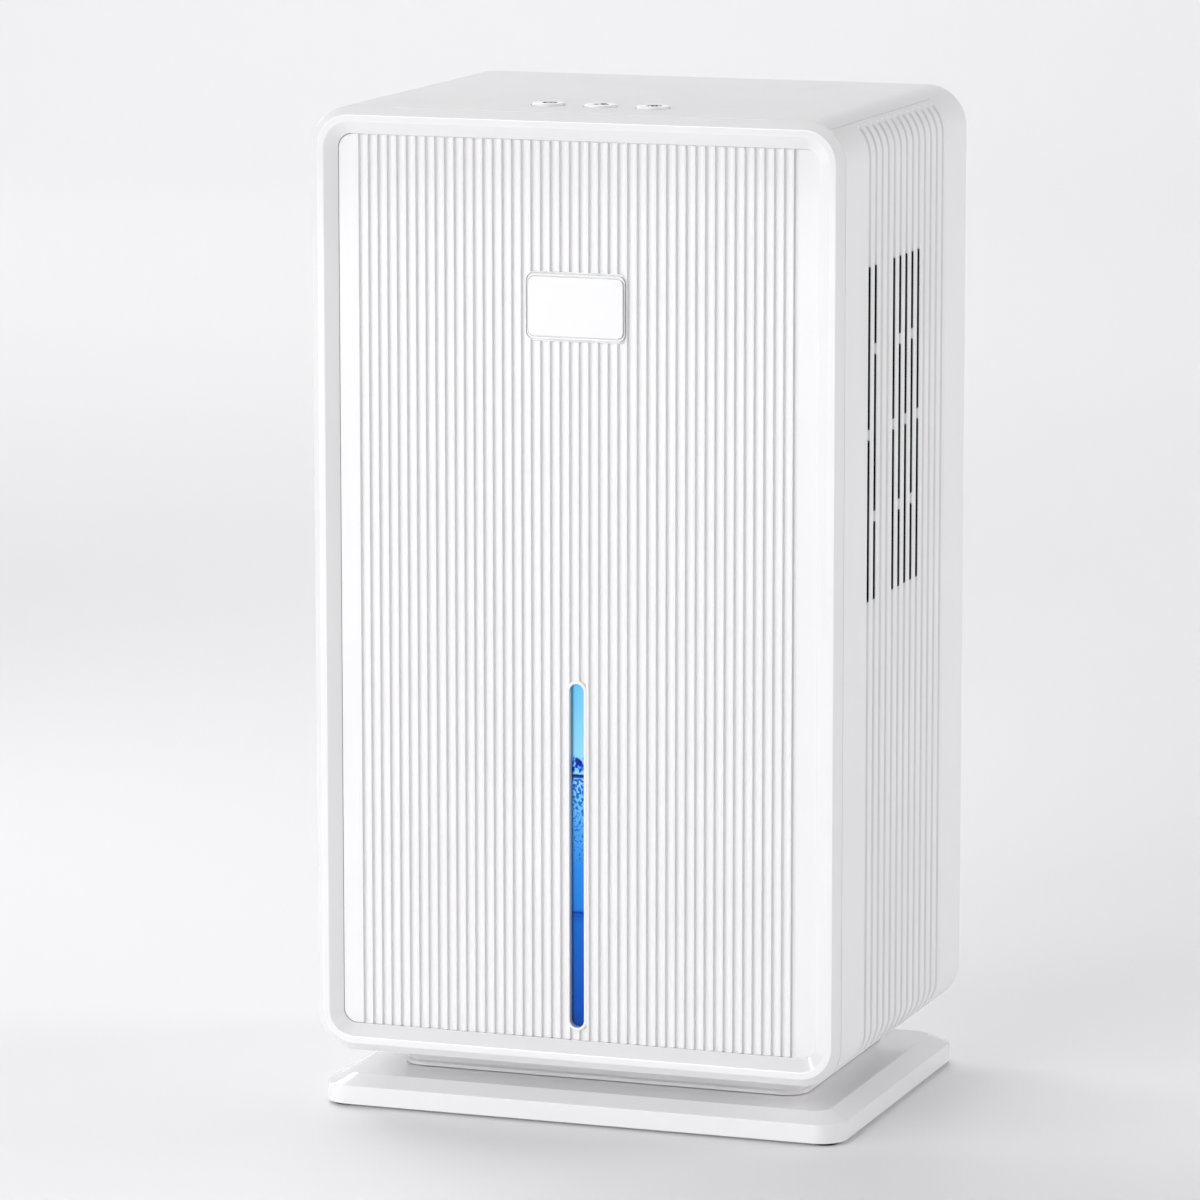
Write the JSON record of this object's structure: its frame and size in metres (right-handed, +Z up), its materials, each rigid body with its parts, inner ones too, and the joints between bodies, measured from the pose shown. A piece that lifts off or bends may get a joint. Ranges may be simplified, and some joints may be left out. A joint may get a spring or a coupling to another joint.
{
  "type": "dehumidifier",
  "caption": "Tower dehumidifier: fluted front with a lit water-level window, slotted grooved sides, top push buttons, rear fan exhaust and a pull-out rear water tank.",
  "frame": {"origin": "middle of the footprint, on the surface that the feet stand on", "axes": "+Z up, -Y towards the fluted front, +X to the right seen from the front"},
  "size_m": [0.22, 0.167, 0.404],
  "materials": {
    "gloss_white": "smooth glossy moulded plastic",
    "satin_white": "satin moulded plastic with a fine spark-eroded texture",
    "badge_white": "gloss moulded plastic with a thin grey rim",
    "dark_plastic": "matte black moulded plastic",
    "inner_plastic": "plain grey moulded plastic",
    "blue_lens": "tinted clear plastic, lit blue from behind",
    "clear_tank": "clear moulded plastic",
    "diffuser": "frosted light-guide plastic",
    "circuit_board": "green circuit board",
    "aluminium": "extruded aluminium",
    "steel": "zinc-plated steel",
    "brass": "sintered bearing bronze",
    "copper": "wound copper on a laminated core",
    "ceramic": "white alumina ceramic",
    "foam": "closed-cell black foam",
    "rubber": "black moulded rubber",
    "float_foam": "foamed plastic",
    "magnet": "sintered ferrite"
  },
  "bodies": {
    "housing": {"badge_plate": "badge_white", "base_neck": "gloss_white", "base_plate": "gloss_white", "base_screw_1": "steel", "base_screw_2": "steel", "base_screw_3": "steel", "base_screw_4": "steel", "bottom_pan": "satin_white", "bulkhead": "inner_plastic", "cold_heatsink": "aluminium", "control_board": "circuit_board", "drip_tray": "inner_plastic", "exhaust_duct": "inner_plastic", "fan_bearing": "brass", "fan_frame": "dark_plastic", "fan_screw_1": "steel", "fan_screw_2": "steel", "fan_screw_3": "steel", "fan_screw_4": "steel", "fan_stator": "copper", "front_frame": "gloss_white", "front_panel": "gloss_white", "full_sensor": "circuit_board", "hot_heatsink": "aluminium", "insulation_gasket": "foam", "left_intake_grille": "dark_plastic", "left_side_shell": "satin_white", "level_light_board": "circuit_board", "light_guide": "diffuser", "light_switch": "dark_plastic", "mid_deck": "inner_plastic", "mode_switch": "dark_plastic", "peltier_module": "ceramic", "power_inlet": "dark_plastic", "power_switch": "dark_plastic", "rear_cover": "satin_white", "rear_screw_1": "steel", "rear_screw_2": "steel", "rear_screw_3": "steel", "rear_screw_4": "steel", "right_intake_grille": "dark_plastic", "right_side_shell": "satin_white", "rubber_foot_1": "rubber", "rubber_foot_2": "rubber", "rubber_foot_3": "rubber", "rubber_foot_4": "rubber", "top_panel": "satin_white", "window_lens": "blue_lens"},
    "power_button": {"power_button": "gloss_white"},
    "mode_button": {"mode_button": "gloss_white"},
    "light_button": {"light_button": "gloss_white"},
    "fan_rotor": {"fan_rotor": "dark_plastic", "fan_shaft": "steel"},
    "tank": {"water_tank": "clear_tank", "tank_lid": "inner_plastic", "tank_fascia": "satin_white", "float_cage": "inner_plastic"},
    "float": {"float": "float_foam", "float_magnet": "magnet"}
  },
  "joints": [
    {"name": "power_press", "type": "slide", "parent": "housing", "child": "power_button", "axis": [0, 0, -1], "range_m": [0, 0.0008], "stiffness_N_per_m": 800},
    {"name": "mode_press", "type": "slide", "parent": "housing", "child": "mode_button", "axis": [0, 0, -1], "range_m": [0, 0.0008], "stiffness_N_per_m": 800},
    {"name": "light_press", "type": "slide", "parent": "housing", "child": "light_button", "axis": [0, 0, -1], "range_m": [0, 0.0008], "stiffness_N_per_m": 800},
    {"name": "fan_spin", "type": "hinge", "parent": "housing", "child": "fan_rotor", "pos_m": [0, 0.0285, 0.278], "axis": [0, 1, 0], "continuous": true},
    {"name": "tank_slide", "type": "slide", "parent": "housing", "child": "tank", "axis": [0, 1, 0], "range_m": [0, 0.16]},
    {"name": "float_rise", "type": "slide", "parent": "tank", "child": "float", "axis": [0, 0, 1], "range_m": [0, 0.012]}
  ]
}
